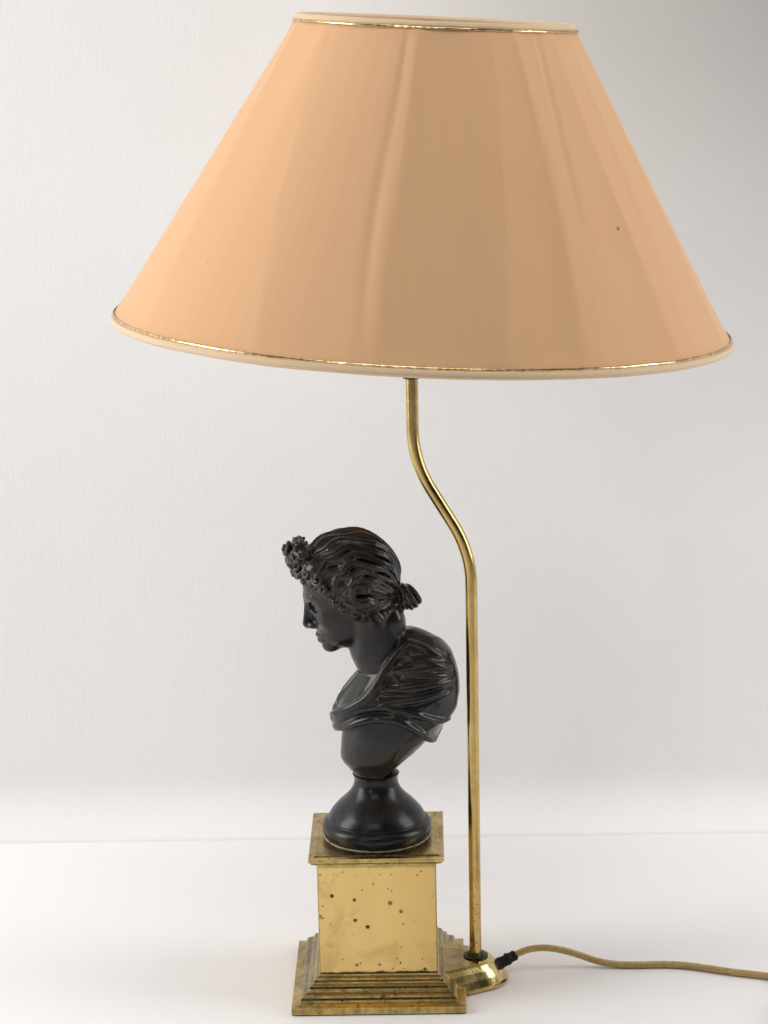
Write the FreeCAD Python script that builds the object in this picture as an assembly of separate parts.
"""Figural table lamp: a classical bust on a brass pedestal, a bent brass stem and a cone shade.

Millimetres, +Z up. The origin is the centre of the square plinth, on the surface it stands on.
+X runs from the bust to the stem's foot, and -Y is the lamp's front.
"""

import FreeCAD, Part
import math
import os

from FreeCAD import Matrix, Placement, Rotation, Vector

os.makedirs("parts", exist_ok=True)

# ---------------------------------------------------------------- clearances
face_gap = 0.1
sliding_gap = 0.05
wire_gap = 0.3

# ---------------------------------------------------------------- plinth casting
felt_thickness = 1.2
felt_inset = 1.0
plinth_half = 72.5
plinth_height = 27.4
plinth_wall = 3.6
fillet_band_height = 6.6
lower_slope_width = 7.2
lower_slope_rise = 2.2
cyma_rise = 11.0
cyma_depth = 8.0
upper_slope_width = 2.9
upper_slope_rise = 1.1
cavetto_rise = 5.0
cyma_turn_in = 0.38
cyma_hollow_bulge = 0.9
cyma_round_bulge = 1.1
cavetto_bulge = 1.2
top_ledge = 1.0
deck_shoulder = 3.0
hollow_band_top = 4.1
hollow_cyma_top = 13.8

# the lobe that carries the stem
stem_x = 81.9
lobe_foot_centre_x = 80.4
lobe_foot_radius = 29.6
lobe_top_centre_x = 74.2
lobe_top_radius = 20.6
lobe_top_height = 21.0
lobe_rim_height = 3.2
lobe_rim_step = 1.6
lobe_flank_angle = 29.0
lobe_root_x = 52.0
lobe_wall = 3.4
lobe_hollow_top = 0.85
# how far up the lobe's side each section stands, and how far it has drawn in by there
lobe_side = [(0.0, 0.10), (0.35, 0.32), (0.68, 0.62), (0.90, 0.88), (1.0, 1.10)]

# ---------------------------------------------------------------- pedestal
block_half = 49.3
block_height = 96.0
block_wall = 2.0
block_corner = 0.8
cap_half = 56.0
cap_height = 9.3
cap_neck_rise = 1.6
cap_cove_rise = 3.4
cap_band_height = 3.0
cap_panel_inset = 5.0
cap_spigot_depth = 5.0
cap_spigot_wall = 3.0
cap_plate = 3.0
cap_neck_step = 0.8
cap_cove_step = 1.2
cap_band_step = 1.0
cap_cove_bulge = 0.8
cap_border_bulge = 0.4

# ---------------------------------------------------------------- socle and tie rod
socle_foot_radius = 43.6
socle_bead_radius = 46.0
socle_bead_height = 14.5
socle_groove_depth = 1.6
socle_groove_width = 2.2
socle_neck_radius = 18.3
socle_neck_height = 47.5
socle_height = 54.3
socle_head_radius = 19.6
socle_bead_widest = 6.1
socle_bead_shoulder_height = 11.3
socle_bead_shoulder_in = 0.6
socle_groove_inset = 4.6
socle_cove_step = 1.0
socle_cove_bulge = 0.6
# the long cove's line: distance below the neck and radius
socle_cove = [(15.4, 28.2), (7.6, 21.2)]
socle_cove_start_in = 3.0
socle_cove_start_rise = 5.2
tie_rod_radius = 4.0
tie_rod_in_bust = 24.0
tie_rod_tail = 3.0
tie_nut_flats = 13.0
tie_nut_height = 6.5
tie_washer_radius = 12.0
tie_washer_thickness = 1.6

# ---------------------------------------------------------------- bust
cloak_hem_radius = 52.0
cloak_hem_x = 6.0
cloak_hem_height = 8.0
oval_joint = 0.4
egg_sections = 7
egg_end_angle = 78.0
# the head's masses: centre x and height above the socle, axis, half length and radius
face_egg = ((-30.5, 143.0), (-0.24, 0.0, 0.97), 36.0, 22.5)
hair_egg = ((-12.0, 174.0), (0.97, 0.0, 0.24), 40.5, 35.8)
curls_egg = ((-47.0, 185.0), (0.0, 1.0, 0.0), 30.0, 17.5)
nape_egg = ((14.0, 148.0), (0.05, 1.0, 0.08), 22.0, 17.0)
knot_egg = ((28.0, 150.5), (0.0, 1.0, 0.0), 13.5, 12.0)

# ---------------------------------------------------------------- stem
stem_radius = 5.0
stem_bore_radius = 4.0
stem_top_x = 35.9
stem_foot_drop = 9.0
stem_slant_start = 349.0
stem_slant_angle = 30.8
stem_bend_radius = 100.0
foot_collar_radius = 10.5
foot_collar_height = 3.6
foot_collar_lip = 1.2
foot_collar_bulge = 0.7
foot_collar_side = 0.35
foot_washer_radius = 8.5
foot_washer_thickness = 1.0
stem_nut_flats = 14.0
stem_nut_height = 3.0
top_nut_bottom = 522.4
top_nut_radius = 7.4
top_nut_height = 4.2
top_nut_chamfer = 0.5

# ---------------------------------------------------------------- lampholder
holder_neck_radius = 7.6
holder_neck_height = 7.0
holder_cap_radius = 20.2
holder_cap_height = 22.0
holder_wall = 1.0
holder_dome_rise = 10.0
holder_dome_bulge = 2.2
sleeve_rim = 2.4
sleeve_chamfer = 0.5
sleeve_lip_in = 1.6
sleeve_lip_height = 1.0
sleeve_radius = 19.4
sleeve_height = 41.0
insert_floor = 7.0
insert_radius = 17.6
insert_bore = 15.0
insert_height = 36.0
screw_shell_radius = 14.3
screw_shell_wall = 0.5
screw_shell_height = 24.0
contact_width = 6.0
contact_thickness = 0.8
contact_rise = 4.0
contact_foot = 9.0
contact_bend_low = 5.2
contact_bend_high = 2.2
contact_bend_thick = 0.45
ring_nut_radius = 23.5
ring_nut_height = 3.8
ring_nut_notches = 12
ring_nut_notch_radius = 1.5
ring_nut_notch_out = 0.7

# ---------------------------------------------------------------- bulb
bulb_cap_radius = 13.2
bulb_cap_height = 25.0
bulb_tip_radius = 4.6
bulb_tip_height = 2.4
bulb_glass_radius = 30.0
bulb_length = 105.0
bulb_glass_wall = 1.0
bulb_shoulder_in = 3.0
bulb_shoulder_rise = 1.0
bulb_thread_rise = 3.0
bulb_neck_gap = 0.2
bulb_neck_straight = 3.0
bulb_neck_flare = 2.0
bulb_neck_flare_rise = 12.0
bulb_waist_in = 4.6
bulb_waist_drop = 14.0

# ---------------------------------------------------------------- shade
shade_foot_x = 44.6
shade_foot_z = 563.1
shade_lean_x = 0.0613
shade_lean_y = 0.0270
shade_foot_radius = 250.0
shade_top_radius = 109.0
shade_height = 245.0
shade_skin = 0.8
hoop_radius = 1.6
tape_thickness = 0.5
tape_width = 4.6
trim_width = 2.0
trim_height = 1.1
trim_side_height = 0.66
fitter_height = 14.0
fitter_radius = 29.0
fitter_thickness = 1.5
fitter_bore_gap = 0.9
arm_radius = 1.6
arm_count = 3
arm_start_angle = 20.0
weld_depth = 0.3
arm_lap = 3.6
arm_flat = 6.0
arm_bend_radius = 12.0
arm_notch_run = 8.0
hoop_edge_gap = 0.4

# ---------------------------------------------------------------- cord
cord_radius = 3.0
inner_flex_radius = 2.5
flex_gland_run = 6.0
flex_bend_radius = 5.2
holder_lead_depth = 3.0
gland_x = 95.2
gland_y = -1.1
gland_z = 9.6
gland_heading = 24.5
gland_rise = 20.0
gland_body_radius = 4.5
gland_body_length = 14.0
gland_flange_radius = 5.7
gland_flange_length = 2.4

# points of the free cord from the gland to the switch, lying on the table after the arch;
# its first and last runs are straight, in line with the gland and the switch
lead_route = [
    (131.0, 13.7, 21.4),
    (145.0, 17.2, 20.2),
    (160.0, 19.8, 16.0),
    (173.5, 21.2, 10.6),
    (187.5, 20.6, 5.2),
    (203.0, 18.8, 3.1),
    (222.0, 17.2, 3.1),
    (243.0, 18.4, 3.1),
    (263.0, 15.4, 3.1),
    (281.0, 8.2, 3.1),
    (299.0, 0.4, 3.1),
    (318.0, -6.0, 3.1),
    (335.0, -11.5, 3.1),
    (347.5, -24.5, 4.4),
]
gland_cord_run = 12.0
switch_cord_run = 17.5

# in-line switch, lying along -Y
switch_x = 352.0
switch_start_y = -60.0
switch_length = 62.0
switch_width = 27.0
switch_height = 16.0
switch_end_width = 15.0
rocker_length = 17.0
rocker_width = 10.0
rocker_pivot_radius = 1.6
rocker_pivot_rise = 2.6
rocker_belly_drop = 3.6
rocker_belly_half = 5.3
rocker_side_rise = 3.0
rocker_crown_drop = 1.95
rocker_end_drop = 0.4
rocker_swing = 9.0
rocker_taper = 1.4
rocker_rise = 2.6
rocker_gap = 0.6
switch_taper = 13.6
switch_inset = 0.05
switch_foot = 0.05
switch_edge_round = 2.2
rocker_well_depth = 3.5
switch_screw_radius = 1.5
switch_screw_head_height = 2.0
switch_screw_sink = 0.3
switch_screw_bottom = 2.6
switch_screw_clearance = 0.6
switch_screw_slot_width = 0.8
switch_screw_slot_depth = 0.7
switch_screw_head_radius = 2.8
switch_screw_offset = 20.0
switch_screw_side = 8.0

# points of the cord between the switch and the coil
tail_route = [
    (347.9, -145.5, 6.6),
    (333.2, -163.7, 4.2),
]
tail_cord_run = 12.0

# put-away coil, two layers of turns, wound inwards and out again
coil_x = 285.0
coil_y = -193.0
coil_start_radius = 44.0
coil_pitch = 6.5
coil_half_turns = 5
coil_draw_in = 4.0
coil_base = 4.0
coil_lead = 6.0
tie_width = 4.0
tie_thickness = 0.6
tie_gap = 0.35
tie_inner_gap = 1.2

# points of the cord between the coil and the plug
end_route = [
    (336.6, -224.3, 10.5),
    (345.4, -235.2, 10.5),
]
end_cord_run = 12.0
plug_heading = -30.0
plug_length = 36.0
plug_width = 35.0
plug_neck_width = 12.0
plug_shoulder = 15.1
plug_edge_round = 2.5
plug_table_gap = 0.05
plug_pin_radius = 2.0
plug_pin_length = 19.0
plug_pin_spacing = 19.0

# ---------------------------------------------------------------- derived levels
block_bottom = plinth_height
block_top = block_bottom + block_height
cap_top = block_top + cap_height
socle_top = cap_top + socle_height
holder_bottom = top_nut_bottom + top_nut_height
sleeve_bottom = holder_bottom + holder_cap_height
fitter_bottom = shade_foot_z + fitter_height
bulb_bottom = sleeve_bottom + insert_floor + contact_rise + contact_thickness


def save(name, shape):
    """Write one node's file."""
    shape.exportStep(f"parts/{name}.step")


def group(*solids):
    return Part.makeCompound(list(solids))


def cylinder(radius, low, high, x=0.0, y=0.0):
    return Part.makeCylinder(radius, high - low, Vector(x, y, low))


def ring(outer, inner, low, high, x=0.0, y=0.0):
    return cylinder(outer, low, high, x, y).cut(cylinder(inner, low - 1, high + 1, x, y))


def hexagon(flats, low, high, x=0.0, y=0.0):
    """A hexagonal prism between two heights."""
    corner = flats / 2 / math.cos(math.radians(30))
    points = []
    for k in range(7):
        angle = math.radians(60 * k)
        points.append(Vector(x + corner * math.cos(angle), y + corner * math.sin(angle), low))
    return Part.Face(Part.makePolygon(points)).extrude(Vector(0, 0, high - low))


def prism(points, direction):
    """The solid swept by a closed polygon."""
    return Part.Face(Part.makePolygon(points + points[:1])).extrude(direction)


class Outline:
    """A half section drawn as (distance from the axis, height), edge by edge."""

    def __init__(self, reach, height):
        self.edges = []
        self.here = Vector(reach, 0, height)
        self.start = self.here

    def line(self, reach, height):
        there = Vector(reach, 0, height)
        self.edges.append(Part.LineSegment(self.here, there).toShape())
        self.here = there
        return self

    def arc(self, reach, height, bulge):
        """An arc whose middle stands off its chord by bulge, to the left of travel."""
        there = Vector(reach, 0, height)
        run = there - self.here
        side = Vector(-run.z, 0, run.x).normalize()
        middle = (self.here + there) * 0.5 + side * bulge
        self.edges.append(Part.Arc(self.here, middle, there).toShape())
        self.here = there
        return self

    def spline(self, points):
        """A smooth curve through the points."""
        through = [self.here] + [Vector(r, 0, z) for r, z in points]
        curve = Part.BSplineCurve()
        curve.interpolate(through)
        self.edges.append(curve.toShape())
        self.here = through[-1]
        return self

    def face(self):
        if (self.here - self.start).Length > 1e-6:
            self.line(self.start.x, self.start.z)
        return Part.Face(Part.Wire(self.edges))

    def revolved(self, x=0.0, y=0.0):
        solid = self.face().revolve(Vector(0, 0, 0), Vector(0, 0, 1), 360)
        solid.translate(Vector(x, y, 0))
        return solid

    def mitred_square(self):
        """The section run round a square: two straight extrusions that cross."""
        half = self.face()
        mirrored = half.mirror(Vector(0, 0, 0), Vector(1, 0, 0))
        whole = half.fuse(mirrored).removeSplitter()
        reach = max(v.X for v in half.Vertexes) + 1
        along = whole.copy()
        along.translate(Vector(0, -reach, 0))
        first = along.extrude(Vector(0, 2 * reach, 0))
        second = first.copy()
        second.rotate(Vector(0, 0, 0), Vector(0, 0, 1), 90)
        return first.common(second)


def rounded_path(points, bends):
    """Straight runs joined by tangent arcs; bends gives the radius at each inner point."""
    edges = []
    here = points[0]
    for k in range(1, len(points) - 1):
        arriving = (points[k] - points[k - 1]).normalize()
        leaving = (points[k + 1] - points[k]).normalize()
        turn = arriving.getAngle(leaving)
        cut = bends[k - 1] * math.tan(turn / 2)
        arc_start = points[k] - arriving * cut
        arc_end = points[k] + leaving * cut
        inward = (leaving - arriving).normalize()
        middle = points[k] + inward * (bends[k - 1] / math.cos(turn / 2) - bends[k - 1])
        edges.append(Part.LineSegment(here, arc_start).toShape())
        edges.append(Part.Arc(arc_start, middle, arc_end).toShape())
        here = arc_end
    edges.append(Part.LineSegment(here, points[-1]).toShape())
    return Part.Wire(edges)


def swept_tube(path, radius, start, direction):
    """A round tube swept along a path."""
    section = Part.Wire([Part.makeCircle(radius, start, direction)])
    return Part.Wire(path).makePipeShell([section], True, False)


def tube_along(path, radius):
    start = path.Edges[0].valueAt(path.Edges[0].FirstParameter)
    direction = path.Edges[0].tangentAt(path.Edges[0].FirstParameter)
    return swept_tube(path, radius, start, direction)


def free_cord(name, points, radius):
    """A cord's tube, whose arcs are as large as the runs beside them allow."""
    bends = []
    for k in range(1, len(points) - 1):
        arriving = points[k] - points[k - 1]
        leaving = points[k + 1] - points[k]
        turn = arriving.getAngle(leaving)
        bends.append(0.45 * min(arriving.Length, leaving.Length) / math.tan(turn / 2))
    path = rounded_path(points, bends)
    tube = tube_along(path, radius)
    expected = math.pi * radius**2 * path.Length
    tightest = min(bends)
    print(f"{name}: length {path.Length:.1f}, tightest bend {tightest:.1f},"
          f" volume / (section x length) {tube.Volume / expected:.4f}")
    return tube


# ================================================================ plinth, felt and pedestal
def plinth_outline(height_from):
    """The moulding from the foot up: band, slope, cyma, slope and cavetto."""
    slope_in = plinth_half - lower_slope_width
    slope_top = fillet_band_height + lower_slope_rise
    cyma_in = slope_in - cyma_depth
    cyma_top = slope_top + cyma_rise
    ledge_in = cyma_in - upper_slope_width
    ledge_top = cyma_top + upper_slope_rise
    cyma_middle = (slope_in - cyma_depth * cyma_turn_in, slope_top + cyma_rise / 2)
    top_half = block_half + top_ledge
    outline = Outline(0, height_from).line(plinth_half, height_from)
    outline.line(plinth_half, fillet_band_height).line(slope_in, slope_top)
    outline.arc(cyma_middle[0], cyma_middle[1], -cyma_hollow_bulge)
    outline.arc(cyma_in, cyma_top, cyma_round_bulge)
    outline.line(ledge_in, ledge_top)
    outline.arc(top_half, ledge_top + cavetto_rise, -cavetto_bulge)
    outline.line(top_half, plinth_height).line(0, plinth_height)
    return outline


def lobe_section(height, centre_x, radius):
    """The lobe's outline at one height: a round nose and two flanks that open to the plinth."""
    slope = math.radians(lobe_flank_angle)
    touch = Vector(centre_x + radius * math.sin(slope), radius * math.cos(slope), height)
    spread = (touch.x - lobe_root_x) * math.tan(slope)
    root = Vector(lobe_root_x, touch.y + spread, height)
    nose = Vector(centre_x + radius, 0, height)
    far_touch = Vector(touch.x, -touch.y, height)
    far_root = Vector(root.x, -root.y, height)
    edges = [
        Part.LineSegment(far_root, far_touch).toShape(),
        Part.Arc(far_touch, nose, touch).toShape(),
        Part.LineSegment(touch, root).toShape(),
        Part.LineSegment(root, far_root).toShape(),
    ]
    return Part.Wire(edges)


def lobe_between(share, inset):
    """Centre and radius of the lobe part of the way up, drawn in by inset."""
    centre = lobe_foot_centre_x + (lobe_top_centre_x - lobe_foot_centre_x) * share
    radius = lobe_foot_radius + (lobe_top_radius - lobe_foot_radius) * share
    return centre, radius - inset


def lobe_solid(low):
    """Rim, sloping side and rounded shoulder of the lobe."""
    rim = Part.Face(lobe_section(low, lobe_foot_centre_x, lobe_foot_radius))
    rim = rim.extrude(Vector(0, 0, lobe_rim_height - low))
    side = []
    rise = lobe_top_height - lobe_rim_height
    for up, share in lobe_side:
        centre, radius = lobe_between(share, lobe_rim_step * (1 - up))
        side.append(lobe_section(lobe_rim_height + rise * up, centre, radius))
    return rim.fuse(Part.makeLoft(side, True, True))


def gland_axis():
    heading = math.radians(gland_heading)
    rise = math.radians(gland_rise)
    return Vector(
        math.cos(heading) * math.cos(rise), math.sin(heading) * math.cos(rise), math.sin(rise)
    )


gland_inner = Vector(gland_x, gland_y, gland_z)
gland_outer = gland_inner + gland_axis() * (gland_body_length + gland_flange_length)


def plinth_base():
    """One brass casting: the stepped plinth and the lobe, hollow underneath."""
    body = plinth_outline(felt_thickness).mitred_square().fuse(lobe_solid(felt_thickness))
    lower_half = plinth_half - plinth_wall
    middle_half = plinth_half - lower_slope_width - cyma_depth / 2 - plinth_wall
    upper_half = block_half - plinth_wall
    hollow = Outline(0, felt_thickness - 1).line(lower_half, felt_thickness - 1)
    hollow.line(lower_half, hollow_band_top)
    hollow.line(middle_half, fillet_band_height).line(middle_half, hollow_cyma_top)
    hollow.line(upper_half, plinth_height - plinth_wall - deck_shoulder)
    hollow.line(upper_half, plinth_height - plinth_wall).line(0, plinth_height - plinth_wall)
    body = body.cut(hollow.mitred_square())
    lobe_hollow = []
    for height, share in ((felt_thickness - 1, 0.0), (lobe_top_height - lobe_wall, lobe_hollow_top)):
        centre, radius = lobe_between(share, lobe_wall)
        lobe_hollow.append(lobe_section(height, centre, radius))
    body = body.cut(Part.makeLoft(lobe_hollow, True, True))
    body = body.cut(cylinder(stem_radius + sliding_gap, 0, lobe_top_height + 9, stem_x))
    body = body.cut(cylinder(tie_rod_radius + wire_gap, 0, plinth_height + 1))
    gland_hole = Part.makeCylinder(
        gland_body_radius + face_gap,
        gland_body_length + 20,
        gland_inner - gland_axis() * face_gap,
        gland_axis(),
    )
    return body.cut(gland_hole).removeSplitter()


def base_felt():
    """A green felt sheet glued under the casting."""
    half = plinth_half - felt_inset
    square = Part.makeBox(2 * half, 2 * half, felt_thickness, Vector(-half, -half, 0))
    lobe = Part.Face(lobe_section(0, lobe_foot_centre_x, lobe_foot_radius - felt_inset))
    return square.fuse(lobe.extrude(Vector(0, 0, felt_thickness))).removeSplitter()


def pedestal_block():
    """A square tube of sheet brass, its corners barely rounded."""
    outer = Part.makeBox(
        2 * block_half, 2 * block_half, block_height, Vector(-block_half, -block_half, block_bottom)
    )
    upright = [e for e in outer.Edges if abs(e.tangentAt(e.FirstParameter).z) > 0.9]
    outer = outer.makeFillet(block_corner, upright)
    inside = block_half - block_wall
    inner = Part.makeBox(
        2 * inside, 2 * inside, block_height + 2, Vector(-inside, -inside, block_bottom - 1)
    )
    return outer.cut(inner)


def pedestal_cap():
    """The cast cap: a cove under a flat band, a sloping border and a flat panel."""
    neck = block_half + cap_neck_step
    neck_top = block_top + cap_neck_rise
    cove_top = neck_top + cap_cove_rise
    band_top = cove_top + cap_band_height
    panel = cap_half - cap_panel_inset
    outline = Outline(0, block_top).line(neck, block_top).line(neck, neck_top)
    outline.line(neck + cap_cove_step, neck_top)
    outline.arc(cap_half - cap_band_step, cove_top, -cap_cove_bulge)
    outline.line(cap_half, cove_top).line(cap_half, band_top)
    outline.arc(panel, cap_top, cap_border_bulge).line(0, cap_top)
    spigot_out = block_half - block_wall - wire_gap
    spigot_in = spigot_out - cap_spigot_wall
    spigot_low = block_top - cap_spigot_depth
    spigot = Part.makeBox(
        2 * spigot_out, 2 * spigot_out, cap_spigot_depth, Vector(-spigot_out, -spigot_out, spigot_low)
    )
    hollow_top = cap_top - cap_plate
    hollow = Part.makeBox(
        2 * spigot_in,
        2 * spigot_in,
        hollow_top - spigot_low + 1,
        Vector(-spigot_in, -spigot_in, spigot_low - 1),
    )
    cap = outline.mitred_square().fuse(spigot).cut(hollow)
    return cap.cut(cylinder(tie_rod_radius + wire_gap, block_top, cap_top + 1)).removeSplitter()


# ================================================================ socle and tie rod
def bust_socle():
    """The turned foot: a fat bead, a groove, a long cove and a small head."""
    groove_low = cap_top + socle_bead_height
    groove_high = groove_low + socle_groove_width
    groove_in = socle_bead_radius - socle_groove_inset - socle_groove_depth
    cove_start = groove_in + socle_cove_step
    neck_height = cap_top + socle_neck_height
    bore = tie_rod_radius + wire_gap
    outline = Outline(bore, cap_top).line(socle_foot_radius, cap_top)
    outline.spline(
        [
            (socle_bead_radius, cap_top + socle_bead_widest),
            (socle_bead_radius - socle_bead_shoulder_in, cap_top + socle_bead_shoulder_height),
            (groove_in + socle_groove_depth, groove_low),
        ]
    )
    outline.arc(cove_start, groove_high, socle_cove_bulge)
    cove = [(cove_start - socle_cove_start_in, groove_high + socle_cove_start_rise)]
    cove += [(radius, neck_height - below) for below, radius in socle_cove]
    outline.spline(cove + [(socle_neck_radius, neck_height), (socle_head_radius, socle_top)])
    outline.line(bore, socle_top)
    return outline.revolved()


tie_deck = plinth_height - plinth_wall


def tie_rod():
    """Threaded rod that draws the bust, socle, cap and block down on the plinth."""
    low = tie_deck - tie_washer_thickness - tie_nut_height - tie_rod_tail
    return cylinder(tie_rod_radius, low, socle_top + tie_rod_in_bust)


def tie_washer():
    return ring(tie_washer_radius, tie_rod_radius + sliding_gap, tie_deck - tie_washer_thickness, tie_deck)


def tie_nut():
    top = tie_deck - tie_washer_thickness
    nut = hexagon(tie_nut_flats, top - tie_nut_height, top)
    return nut.cut(cylinder(tie_rod_radius + sliding_gap, 0, plinth_height))


# ================================================================ bust
def oval(x, y, z, along, across):
    """A horizontal oval wire of four arcs."""
    stretch = Matrix(along, 0, 0, x, 0, across, 0, y, 0, 0, 1, z, 0, 0, 0, 1)
    quarter = math.pi / 2
    arcs = []
    for k in range(4):
        arc = Part.ArcOfCircle(Part.Circle(), k * quarter + oval_joint, (k + 1) * quarter + oval_joint)
        arcs.append(arc.toShape().transformGeometry(stretch))
    return Part.Wire(arcs)


def egg(centre, axis, half_length, radius):
    """An egg lofted through round sections along its axis, with a small flat at each end."""
    wires = []
    for k in range(egg_sections):
        angle = math.radians(egg_end_angle * (2 * k / (egg_sections - 1) - 1))
        width = radius * math.cos(angle)
        wires.append(oval(0, 0, half_length * math.sin(angle), width, width))
    solid = Part.makeLoft(wires, True, False)
    solid.Placement = Placement(centre, Rotation(Vector(0, 0, 1), axis))
    return solid


# sections of the bust: height above the socle, centre x and y, half width along x and along y
chest_ovals = [
    (0.0, 0.0, 0.0, 18.0, 18.0),
    (14.0, -0.5, -1.0, 30.0, 25.0),
    (34.0, 10.0, -2.0, 39.0, 30.0),
    (60.0, 16.0, -2.0, 40.0, 30.0),
    (84.0, 22.0, 0.0, 28.0, 24.0),
]
cloak_ovals = [
    (30.0, 9.0, -2.0, 42.0, 32.5),
    (56.0, 17.5, -1.5, 52.0, 38.6),
    (84.0, 27.0, 1.0, 44.0, 34.6),
    (104.0, 34.0, 3.0, 32.0, 27.0),
    (118.0, 31.5, 3.0, 19.0, 17.0),
]
neck_ovals = [
    (82.0, 24.0, 1.0, 22.0, 20.0),
    (100.0, 9.0, 0.0, 18.0, 16.5),
    (134.0, -10.0, 0.0, 19.0, 17.0),
]


def loft_of(ovals):
    wires = []
    for up, x, y, along, across in ovals:
        wires.append(oval(x, y, socle_top + up, along, across))
    return Part.makeLoft(wires, True, False)


def head_mass(place, axis, half_length, radius):
    x, up = place
    return egg(Vector(x, 0, socle_top + up), Vector(*axis), half_length, radius)


def bust_figure():
    """Bare chest, draped cloak, neck and a plain classical head with tied-back hair."""
    chest = loft_of(chest_ovals)
    hem = Part.makeCylinder(
        cloak_hem_radius, 200, Vector(cloak_hem_x, -100, socle_top + cloak_hem_height), Vector(0, 1, 0)
    )
    cloak = loft_of(cloak_ovals).cut(hem)
    neck = loft_of(neck_ovals)
    bore = cylinder(tie_rod_radius + sliding_gap, socle_top - 1, socle_top + tie_rod_in_bust + face_gap)
    body = chest
    head = [head_mass(*mass) for mass in (face_egg, hair_egg, curls_egg, nape_egg, knot_egg)]
    for mass in [cloak, neck] + head:
        body = body.fuse(mass)
    return body.cut(bore)


# ================================================================ stem
def stem_points():
    """Corners of the stem's centreline: upright, slanted and upright again."""
    slant = math.radians(stem_slant_angle)
    reach = stem_bend_radius * math.tan(slant / 2)
    lower_corner = stem_slant_start + reach
    upper_corner = lower_corner + (stem_x - stem_top_x) / math.tan(slant)
    return [
        Vector(stem_x, 0, lobe_top_height - stem_foot_drop),
        Vector(stem_x, 0, lower_corner),
        Vector(stem_top_x, 0, upper_corner),
        Vector(stem_top_x, 0, holder_bottom + holder_neck_height - 1.0),
    ]


def lamp_stem():
    """A brass tube with two bends, open for the leads."""
    path = rounded_path(stem_points(), [stem_bend_radius, stem_bend_radius])
    return tube_along(path, stem_radius).cut(tube_along(path, stem_bore_radius))


def foot_collar():
    """The dark collar where the stem leaves the lobe."""
    low = lobe_top_height
    bore = stem_radius + sliding_gap
    outline = Outline(bore, low).line(foot_collar_radius, low)
    top = low + foot_collar_height
    outline.line(foot_collar_radius, low + foot_collar_height * foot_collar_side)
    outline.arc(bore + foot_collar_lip, top, foot_collar_bulge).line(bore, top)
    return outline.revolved(stem_x)


lobe_deck = lobe_top_height - lobe_wall


def foot_washer():
    low = lobe_deck - foot_washer_thickness
    return ring(foot_washer_radius, stem_radius + sliding_gap, low, lobe_deck, stem_x)


def foot_nut():
    top = lobe_deck - foot_washer_thickness
    nut = hexagon(stem_nut_flats, top - stem_nut_height, top, stem_x)
    return nut.cut(cylinder(stem_radius + sliding_gap, 0, top + 1, stem_x))


def top_nut():
    """The round dark nut that locks the lampholder on the stem."""
    low = top_nut_bottom
    bore = stem_radius + sliding_gap
    outline = Outline(bore, low).line(top_nut_radius - top_nut_chamfer, low)
    outline.line(top_nut_radius, low + top_nut_chamfer).line(top_nut_radius, low + top_nut_height)
    outline.line(bore, low + top_nut_height)
    return outline.revolved(stem_top_x)


# ================================================================ lampholder and bulb
def holder_cap():
    """The turned brass cap that screws on the stem."""
    low = holder_bottom
    shoulder = low + holder_neck_height
    top = low + holder_cap_height
    bore = stem_radius + sliding_gap
    outline = Outline(bore, low).line(holder_neck_radius, low).line(holder_neck_radius, shoulder)
    dome_foot = shoulder + holder_dome_rise
    outline.arc(holder_cap_radius, dome_foot, holder_dome_bulge).line(holder_cap_radius, top)
    inner = holder_cap_radius - holder_wall
    outline.line(inner, top).line(inner, dome_foot + holder_wall)
    outline.arc(holder_neck_radius, shoulder + holder_wall, -holder_dome_bulge)
    outline.line(bore, shoulder + holder_wall)
    return outline.revolved(stem_top_x)


def holder_sleeve():
    """The outer brass sleeve that the two shade rings run on."""
    low = sleeve_bottom
    top = low + sleeve_height
    inner = sleeve_radius - holder_wall
    lip = inner - sleeve_lip_in
    outline = Outline(inner, low).line(holder_cap_radius, low)
    outline.line(holder_cap_radius, low + sleeve_rim).line(sleeve_radius, low + sleeve_rim)
    outline.line(sleeve_radius, top - sleeve_chamfer).line(sleeve_radius - sleeve_chamfer, top)
    outline.line(lip, top).line(lip, top - sleeve_lip_height).line(inner, top - sleeve_lip_height)
    return outline.revolved(stem_top_x)


def holder_insert():
    """The white porcelain cup inside the sleeve."""
    low = sleeve_bottom
    floor = low + insert_floor
    top = low + insert_height
    cup = ring(insert_radius, insert_bore, floor, top, stem_top_x)
    base = cylinder(insert_radius, low, floor, stem_top_x)
    lead_hole = cylinder(inner_flex_radius + face_gap, low - 1, low + holder_lead_depth, stem_top_x)
    return base.fuse(cup).cut(lead_hole).removeSplitter()


def screw_shell():
    low = sleeve_bottom + insert_floor
    return ring(
        screw_shell_radius, screw_shell_radius - screw_shell_wall, low, low + screw_shell_height, stem_top_x
    )


def centre_contact():
    """A bent brass tongue that presses on the bulb's tip."""
    low = sleeve_bottom + insert_floor
    high = low + contact_rise
    thick = contact_thickness
    foot = contact_foot
    points = [
        Vector(-foot, 0, low),
        Vector(-contact_bend_low, 0, low),
        Vector(-contact_bend_high, 0, high),
        Vector(bulb_tip_radius, 0, high),
        Vector(bulb_tip_radius, 0, high + thick),
        Vector(-contact_bend_high - contact_bend_thick, 0, high + thick),
        Vector(-contact_bend_low - contact_bend_thick, 0, low + thick),
        Vector(-foot, 0, low + thick),
    ]
    place = Vector(stem_top_x, -contact_width / 2, 0)
    return prism([p + place for p in points], Vector(0, contact_width, 0))


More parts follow.
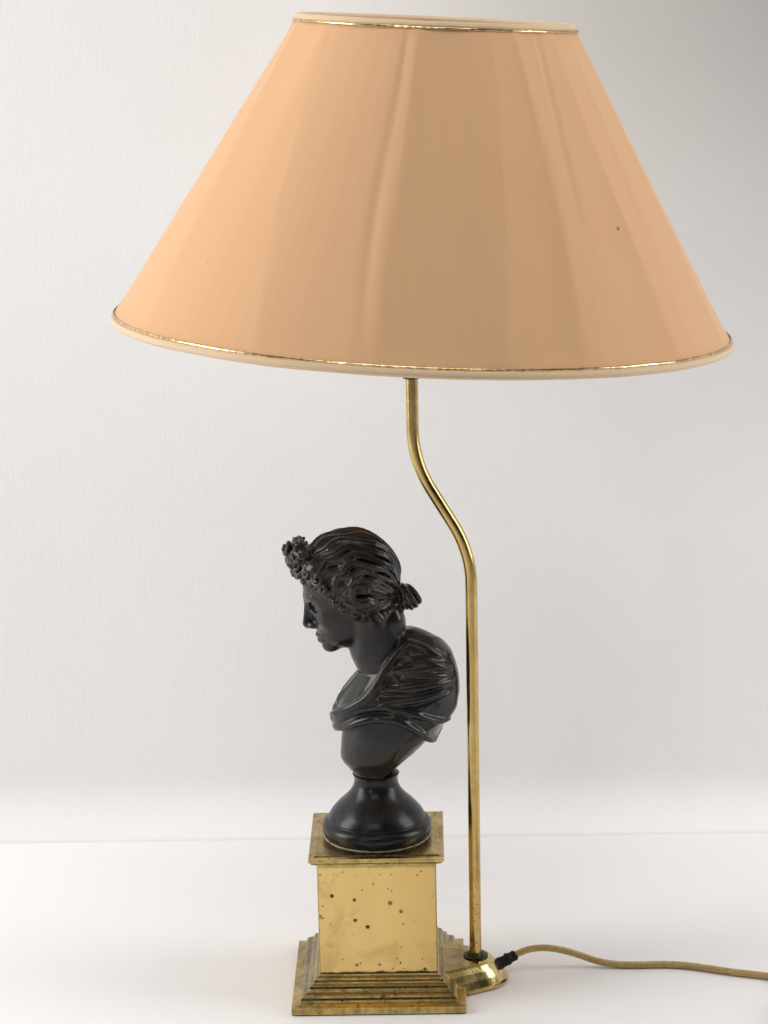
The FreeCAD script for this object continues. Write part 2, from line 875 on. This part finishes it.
def shade_ring_nut(low):
    """A knurled ring that runs on the sleeve."""
    nut = ring(ring_nut_radius, sleeve_radius + sliding_gap, low, low + ring_nut_height, stem_top_x)
    for k in range(ring_nut_notches):
        angle = 2 * math.pi * k / ring_nut_notches
        x = stem_top_x + (ring_nut_radius + ring_nut_notch_out) * math.cos(angle)
        y = (ring_nut_radius + ring_nut_notch_out) * math.sin(angle)
        nut = nut.cut(cylinder(ring_nut_notch_radius, low - 1, low + ring_nut_height + 1, x, y))
    return nut


def bulb_cap():
    low = bulb_bottom
    shoulder = low + bulb_tip_height
    outline = Outline(0, low).line(bulb_tip_radius, low).line(bulb_tip_radius, shoulder)
    outline.line(bulb_cap_radius - bulb_shoulder_in, shoulder + bulb_shoulder_rise)
    outline.line(bulb_cap_radius, shoulder + bulb_thread_rise)
    outline.line(bulb_cap_radius, low + bulb_cap_height).line(0, low + bulb_cap_height)
    return outline.revolved(stem_top_x)


def bulb_glass():
    """A pear-shaped envelope, closed at the top and open in its neck."""
    low = bulb_bottom + bulb_cap_height
    top = bulb_bottom + bulb_length
    wide = top - bulb_glass_radius
    neck = bulb_cap_radius - bulb_neck_gap
    wall = bulb_glass_wall
    diagonal = math.cos(math.pi / 4)

    def side(inset):
        """The glass's line from the neck over the round end, on its outside or its inside."""
        round_end = bulb_glass_radius - inset
        return [
            (neck - inset, low + bulb_neck_straight),
            (neck + bulb_neck_flare - inset, low + bulb_neck_flare_rise),
            (round_end - bulb_waist_in, wide - bulb_waist_drop),
            (round_end, wide),
            (round_end * diagonal, wide + round_end * diagonal),
            (0, top - inset),
        ]

    outer, inner = side(0), side(wall)
    outline = Outline(neck, low).line(*outer[0])
    outline.spline(outer[1:])
    outline.line(*inner[-1])
    outline.spline(inner[-2::-1])
    outline.line(neck - wall, low)
    return outline.revolved(stem_top_x)


def inner_flex():
    """The leads from the gland through the hollow lobe and up the stem to the holder."""
    stem = stem_points()
    top = sleeve_bottom + holder_lead_depth
    entry = gland_inner - gland_axis() * face_gap
    behind = entry - gland_axis() * flex_gland_run
    under_stem = Vector(stem_x, 0, behind.z)
    points = [entry, behind, under_stem, stem[1], stem[2], Vector(stem_top_x, 0, top)]
    bends = [flex_bend_radius, flex_bend_radius, stem_bend_radius, stem_bend_radius]
    return tube_along(rounded_path(points, bends), inner_flex_radius)


# ================================================================ shade
shade_axis = Vector(shade_lean_x, shade_lean_y, 1).normalize()
shade_frame = Placement(Vector(shade_foot_x, 0, shade_foot_z), Rotation(Vector(0, 0, 1), shade_axis))
slant = math.hypot(shade_foot_radius - shade_top_radius, shade_height)
slant_in = (shade_foot_radius - shade_top_radius) / slant
slant_up = shade_height / slant


def slant_point(at_top, up, out):
    """A point up the slant from an edge and out from the skin's face, as (radius, height)."""
    radius = shade_top_radius if at_top else shade_foot_radius
    height = shade_height if at_top else 0.0
    return radius - up * slant_in + out * slant_up, height + up * slant_up + out * slant_in


def slant_ring(at_top, corners):
    """A ring whose section is given along and across the slant, placed on the leaning axis."""
    points = []
    for up, out in corners:
        radius, height = slant_point(at_top, -up if at_top else up, out)
        points.append(Vector(radius, 0, height))
    solid = Part.Face(Part.makePolygon(points + points[:1])).revolve(
        Vector(0, 0, 0), Vector(0, 0, 1), 360
    )
    solid.Placement = shade_frame
    return solid


def shade_skin_solid():
    corners = [(0, 0), (slant, 0), (slant, -shade_skin), (0, -shade_skin)]
    return slant_ring(False, corners)


hoop_depth = shade_skin + wire_gap + hoop_radius


def hoop(at_top):
    """The wire ring that stiffens an edge, just inside the skin."""
    up = hoop_radius + hoop_edge_gap
    radius, height = slant_point(at_top, -up if at_top else up, -hoop_depth)
    wire = Part.makeTorus(radius, hoop_radius, Vector(0, 0, height), Vector(0, 0, 1))
    wire.Placement = shade_frame.multiply(wire.Placement)
    return wire


def edge_tape(at_top):
    """The binding tape, folded round the skin's edge and the wire, slit at the lower arms."""
    low = -face_gap - tape_thickness
    outside = face_gap
    inside = -(hoop_depth + hoop_radius + face_gap)
    corners = [
        (low, outside + tape_thickness),
        (tape_width, outside + tape_thickness),
        (tape_width, outside),
        (-face_gap, outside),
        (-face_gap, inside),
        (tape_width, inside),
        (tape_width, inside - tape_thickness),
        (low, inside - tape_thickness),
    ]
    tape = slant_ring(at_top, corners)
    if at_top:
        return tape
    for k in range(arm_count):
        start, knee, end = arm_points(k)
        outward = (end - knee).normalize()
        slit_start = end - outward * arm_notch_run
        slit = Part.makeCylinder(arm_radius + wire_gap, arm_notch_run + wire_gap, slit_start, outward)
        tape = tape.cut(slit)
    return tape


def edge_trim(at_top):
    """The gold piping along the tape."""
    low = tape_width + face_gap
    middle = low + trim_width / 2
    high = low + trim_width
    corners = [
        (low, face_gap),
        (low, trim_side_height),
        (middle, trim_height),
        (high, trim_side_height),
        (high, face_gap),
    ]
    return slant_ring(at_top, corners)


def shade_fitter():
    """The flat ring that the two ring nuts clamp."""
    bore = sleeve_radius + fitter_bore_gap
    return ring(fitter_radius, bore, fitter_bottom, fitter_bottom + fitter_thickness, stem_top_x)


def arm_points(k):
    """Corners of one arm's centreline: on the fitter, past its rim and at the lower hoop."""
    radius, height = slant_point(False, hoop_radius + hoop_edge_gap, -hoop_depth)
    reach = radius - hoop_radius + weld_depth
    angle = math.radians(arm_start_angle + 360.0 * k / arm_count)
    outward = Vector(math.cos(angle), math.sin(angle), 0)
    hub = Vector(stem_top_x, 0, fitter_bottom - arm_radius + weld_depth)
    start = hub + outward * (fitter_radius - arm_lap)
    knee = hub + outward * (fitter_radius + arm_flat)
    end = shade_frame.multVec(outward * reach + Vector(0, 0, height))
    return [start, knee, end]


def shade_arms():
    """Wires from the fitter ring out to the lower hoop."""
    arms = []
    for k in range(arm_count):
        arms.append(tube_along(rounded_path(arm_points(k), [arm_bend_radius]), arm_radius))
    return group(*arms)


# ================================================================ cord, switch, coil and plug
def strain_relief():
    """The black bushing that the cord leaves the lobe through."""
    axis = gland_axis()
    body = Part.makeCylinder(gland_body_radius, gland_body_length, gland_inner, axis)
    flange_at = gland_inner + axis * gland_body_length
    flange = Part.makeCone(
        gland_flange_radius, gland_flange_radius - 1.0, gland_flange_length, flange_at, axis
    )
    return body.fuse(flange).removeSplitter()


switch_axis_z = switch_height / 2
switch_end_y = switch_start_y - switch_length
switch_middle_y = (switch_start_y + switch_end_y) / 2
rocker_pivot_z = switch_axis_z + rocker_pivot_rise


def lead_points():
    first = gland_outer
    second = first + gland_axis() * gland_cord_run
    last = Vector(switch_x, switch_start_y, switch_axis_z)
    before = last + Vector(0, switch_cord_run, 0)
    return [first, second] + [Vector(*p) for p in lead_route] + [before, last]


def switch_outline(low, high, inset):
    """A long housing that narrows to its two ends."""
    half = switch_width / 2 - inset
    end = switch_end_width / 2 - inset
    taper = switch_taper
    near = switch_start_y - inset
    far = switch_end_y + inset
    points = [
        Vector(switch_x - end, near, low),
        Vector(switch_x - half, near - taper, low),
        Vector(switch_x - half, far + taper, low),
        Vector(switch_x - end, far, low),
        Vector(switch_x + end, far, low),
        Vector(switch_x + half, far + taper, low),
        Vector(switch_x + half, near - taper, low),
        Vector(switch_x + end, near, low),
    ]
    return prism(points, Vector(0, 0, high - low))


def rocker_well(low):
    """The opening in the cover that the rocker tips in."""
    half_long = rocker_length / 2 + rocker_gap
    half_wide = rocker_width / 2 + rocker_gap
    return Part.makeBox(
        2 * half_wide,
        2 * half_long,
        switch_height,
        Vector(switch_x - half_wide, switch_middle_y - half_long, low),
    )


def screw_places():
    for side in (-1, 1):
        yield switch_x + side * switch_screw_side, switch_middle_y - side * switch_screw_offset


def switch_half(low, high, edges_at):
    """One half of the housing, its outer edges rounded."""
    body = switch_outline(low, high, switch_inset)
    outer = [e for e in body.Edges if abs(e.BoundBox.ZMax - edges_at) < 1e-6 and e.BoundBox.ZLength < 1e-6]
    return body.makeFillet(switch_edge_round, outer)


def switch_base():
    base = switch_half(switch_foot, switch_axis_z, switch_foot)
    well = rocker_well(switch_axis_z - rocker_well_depth)
    screw_bore = switch_screw_radius + sliding_gap
    for x, y in screw_places():
        bore_bottom = switch_screw_bottom - switch_screw_clearance
        base = base.cut(cylinder(screw_bore, bore_bottom, switch_height, x, y))
    return base.cut(well)


def switch_cover():
    cover = switch_half(switch_axis_z, switch_height, switch_height)
    cover = cover.cut(rocker_well(switch_axis_z - 1))
    for x, y in screw_places():
        cover = cover.cut(cylinder(switch_screw_radius + sliding_gap, 0, switch_height + 1, x, y))
        head = switch_screw_head_radius + sliding_gap
        cover = cover.cut(cylinder(head, switch_height - switch_screw_head_height, switch_height + 1, x, y))
    pin = Part.makeCylinder(
        rocker_pivot_radius,
        rocker_width + 2 * rocker_gap,
        Vector(switch_x - rocker_width / 2 - rocker_gap, switch_middle_y, rocker_pivot_z),
        Vector(1, 0, 0),
    )
    return cover.fuse(pin).removeSplitter()


def switch_rocker():
    """A rocker with two sloping faces on a pin across the housing, tipped to off."""
    top = switch_height + rocker_rise
    half = rocker_length / 2
    low = rocker_pivot_z - rocker_belly_drop
    flank = low + rocker_side_rise
    side = [
        Vector(0, -rocker_belly_half, low),
        Vector(0, rocker_belly_half, low),
        Vector(0, half, flank),
        Vector(0, half - rocker_taper, top - rocker_end_drop),
        Vector(0, 0, top - rocker_crown_drop),
        Vector(0, -half + rocker_taper, top - rocker_end_drop),
        Vector(0, -half, flank),
    ]
    place = Vector(switch_x - rocker_width / 2, switch_middle_y, 0)
    body = prism([p + place for p in side], Vector(rocker_width, 0, 0))
    bore = Part.makeCylinder(
        rocker_pivot_radius + sliding_gap,
        rocker_width + 2,
        Vector(switch_x - rocker_width / 2 - 1, switch_middle_y, rocker_pivot_z),
        Vector(1, 0, 0),
    )
    body = body.cut(bore)
    body.rotate(place + Vector(0, 0, rocker_pivot_z), Vector(1, 0, 0), rocker_swing)
    return body


def switch_screws():
    screws = []
    for x, y in screw_places():
        head_low = switch_height - switch_screw_head_height
        head_top = switch_height - switch_screw_sink
        shank = cylinder(switch_screw_radius, switch_screw_bottom, head_low, x, y)
        head = cylinder(switch_screw_head_radius, head_low, head_top, x, y)
        slot = Part.makeBox(
            2 * switch_screw_head_radius + 1,
            switch_screw_slot_width,
            switch_screw_slot_depth + 1,
            Vector(
                x - switch_screw_head_radius - 0.5,
                y - switch_screw_slot_width / 2,
                head_top - switch_screw_slot_depth,
            ),
        )
        screws.append(shank.fuse(head).cut(slot).removeSplitter())
    return group(*screws)


coil_centre = Vector(coil_x, coil_y, 0)
coil_low = coil_base
coil_high = coil_base + coil_pitch
coil_end_y = coil_y - coil_lead


def tail_points():
    run = Vector(0, tail_cord_run, 0)
    first = Vector(switch_x, switch_end_y, switch_axis_z)
    last = Vector(coil_x + coil_start_radius, coil_y + coil_lead, coil_low)
    return [first, first - run] + [Vector(*p) for p in tail_route] + [last + run, last]


def coil_stations():
    """Where the turns cross the coil's middle line, right and left by turns."""
    stations = []
    side = 1
    radius = coil_start_radius
    for k in range(coil_half_turns + 1):
        stations.append((side * radius, coil_low))
        side = -side
        radius -= coil_pitch / 2
    inner = radius + coil_pitch / 2
    stations.append((side * (inner - coil_draw_in), coil_high))
    radius = inner + coil_pitch / 2
    for k in range(coil_half_turns + 1):
        side = -side
        stations.append((side * radius, coil_high))
        radius += coil_pitch / 2
    return stations


def half_turn(start, end, heading):
    """Two quarter arcs that leave start along heading and reach end going back."""
    reach = (end - start).Length / 2
    middle = (start + end) * 0.5 + heading * reach
    across = (end - start).normalize()
    edges = []
    for centre, first, last, a, b in (
        (start + across * reach, start, middle, -across, heading),
        (middle - heading * reach, middle, end, heading, across),
    ):
        between = centre + (a + b).normalize() * reach
        edges.append(Part.Arc(first, between, last).toShape())
    return edges


def coil_path():
    """The unbroken line of the turns, with a short straight lead at each end."""
    stations = [coil_centre + Vector(x, 0, z) for x, z in coil_stations()]
    heading = Vector(0, -1, 0)
    first = stations[0] - heading * coil_lead
    edges = [Part.LineSegment(first, stations[0]).toShape()]
    for k in range(len(stations) - 1):
        edges += half_turn(stations[k], stations[k + 1], heading)
        heading = -heading
    edges.append(Part.LineSegment(stations[-1], stations[-1] + heading * coil_lead).toShape())
    return Part.Wire(edges)


def print_coil_gap(path):
    """The least gap between turns, from points along the line."""
    step = 2.0
    points = path.discretize(Distance=step)
    apart = int(math.pi * cord_radius * 3 / step)
    least = 1e9
    for i in range(0, len(points)):
        for j in range(i + apart, len(points)):
            least = min(least, (points[i] - points[j]).Length)
    print(f"coil: length {path.Length:.1f}, least gap to itself {least - 2 * cord_radius:.2f}")


def cord_coil():
    path = coil_path()
    coil = tube_along(path, cord_radius)
    expected = math.pi * cord_radius**2 * path.Length
    print(f"coil: volume / (section x length) {coil.Volume / expected:.4f}")
    print_coil_gap(path)
    return coil


def coil_tie():
    """A plastic band round the bundle of turns, at the coil's front."""
    turns = [x for x, z in coil_stations()]
    spans = [(abs(turns[k]) + abs(turns[k + 1])) / 2 for k in range(0, len(turns) - 1, 2)]
    clear = cord_radius + tie_gap
    low_y = coil_y - max(spans) - clear
    high_y = coil_y - min(spans) + cord_radius + tie_inner_gap
    bottom = coil_low - clear
    top = coil_high + clear
    inner = Part.makeBox(
        tie_width + 2, high_y - low_y, top - bottom, Vector(coil_x - tie_width / 2 - 1, low_y, bottom)
    )
    wall = tie_thickness
    outer = Part.makeBox(
        tie_width,
        high_y - low_y + 2 * wall,
        top - bottom + 2 * wall,
        Vector(coil_x - tie_width / 2, low_y - wall, bottom - wall),
    )
    return outer.cut(inner)


plug_heading_vector = Vector(
    math.cos(math.radians(plug_heading)), math.sin(math.radians(plug_heading)), 0
)
plug_start = Vector(*end_route[-1]) + plug_heading_vector * end_cord_run


def end_points():
    first = Vector(coil_x + coil_stations()[-1][0], coil_end_y, coil_high)
    second = first - Vector(0, end_cord_run, 0)
    return [first, second] + [Vector(*p) for p in end_route] + [plug_start]


def place_along_plug(shape):
    """Turn a shape drawn along +X from the origin so that it follows the plug's heading."""
    shape.rotate(Vector(0, 0, 0), Vector(0, 0, 1), plug_heading)
    shape.translate(plug_start)
    return shape


plug_half_height = coil_high - plug_table_gap


def plug_body():
    """A flat two-pin plug, narrow where the cord enters and rounded on its edges."""
    neck = plug_neck_width / 2
    half = plug_width / 2
    points = [
        Vector(0, -neck, -plug_half_height),
        Vector(plug_shoulder, -half, -plug_half_height),
        Vector(plug_length, -half, -plug_half_height),
        Vector(plug_length, half, -plug_half_height),
        Vector(plug_shoulder, half, -plug_half_height),
        Vector(0, neck, -plug_half_height),
    ]
    body = prism(points, Vector(0, 0, 2 * plug_half_height))
    level = [e for e in body.Edges if e.BoundBox.ZLength < 1e-6 and e.BoundBox.XMin < plug_length - 1]
    return place_along_plug(body.makeFillet(plug_edge_round, level))


def plug_pins():
    pins = []
    for side in (-1, 1):
        base = Vector(plug_length, side * plug_pin_spacing / 2, 0)
        shank = Part.makeCylinder(plug_pin_radius, plug_pin_length - plug_pin_radius, base, Vector(1, 0, 0))
        tip = Part.makeSphere(plug_pin_radius, base + Vector(plug_pin_length - plug_pin_radius, 0, 0))
        pins.append(place_along_plug(shank.fuse(tip).removeSplitter()))
    return group(*pins)


# ================================================================ all nodes
def build():
    nodes = {
        "base_felt": base_felt(),
        "plinth_base": plinth_base(),
        "pedestal_block": pedestal_block(),
        "pedestal_cap": pedestal_cap(),
        "bust_socle": bust_socle(),
        "bust_figure": bust_figure(),
        "tie_rod": tie_rod(),
        "tie_washer": tie_washer(),
        "tie_nut": tie_nut(),
        "lamp_stem": lamp_stem(),
        "foot_collar": foot_collar(),
        "foot_washer": foot_washer(),
        "foot_nut": foot_nut(),
        "top_nut": top_nut(),
        "holder_cap": holder_cap(),
        "holder_sleeve": holder_sleeve(),
        "holder_insert": holder_insert(),
        "screw_shell": screw_shell(),
        "centre_contact": centre_contact(),
        "shade_ring_lower": shade_ring_nut(fitter_bottom - face_gap - ring_nut_height),
        "shade_ring_upper": shade_ring_nut(fitter_bottom + fitter_thickness + face_gap),
        "bulb_cap": bulb_cap(),
        "bulb_glass": bulb_glass(),
        "inner_flex": inner_flex(),
        "shade_fitter": shade_fitter(),
        "shade_arms": shade_arms(),
        "hoop_lower": hoop(False),
        "hoop_upper": hoop(True),
        "shade_skin": shade_skin_solid(),
        "tape_lower": edge_tape(False),
        "tape_upper": edge_tape(True),
        "trim_lower": edge_trim(False),
        "trim_upper": edge_trim(True),
        "strain_relief": strain_relief(),
        "cord_lead": free_cord("cord_lead", lead_points(), cord_radius),
        "switch_base": switch_base(),
        "switch_cover": switch_cover(),
        "switch_rocker": switch_rocker(),
        "switch_screws": switch_screws(),
        "cord_tail": free_cord("cord_tail", tail_points(), cord_radius),
        "cord_coil": cord_coil(),
        "coil_tie": coil_tie(),
        "cord_end": free_cord("cord_end", end_points(), cord_radius),
        "plug_body": plug_body(),
        "plug_pins": plug_pins(),
    }
    for name, shape in nodes.items():
        save(name, shape)


build()
